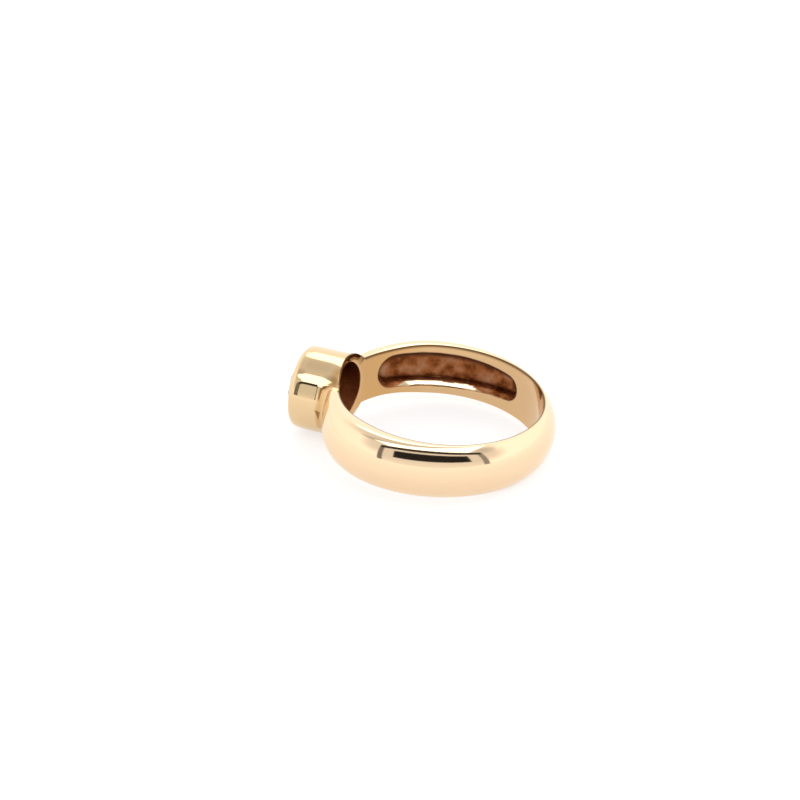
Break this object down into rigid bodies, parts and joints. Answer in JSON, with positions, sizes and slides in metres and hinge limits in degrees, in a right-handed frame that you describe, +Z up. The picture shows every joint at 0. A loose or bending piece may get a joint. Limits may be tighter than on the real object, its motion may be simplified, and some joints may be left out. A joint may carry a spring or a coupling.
{
  "type": "diamond solitaire ring",
  "caption": "Domed gold finger ring with cast pockets inside its shoulders, holding a round brilliant diamond in a tall tube bezel with an open well behind the stone.",
  "frame": {"origin": "middle of the ring's box, on the surface that the ring lies on", "axes": "+Z up from that surface; the stone faces -Y and the back of the shank is at +Y; the finger hole's axis leans 4 degrees from +Z towards +Y"},
  "size_m": [0.0206, 0.0226, 0.0073],
  "materials": {
    "polished_gold": "polished yellow gold with a warm, slightly rose tone; rough as cast in the pockets",
    "diamond": "clear, polished facets"
  },
  "bodies": {
    "root": {"gold_ring": "polished_gold", "diamond": "diamond"}
  },
  "joints": []
}
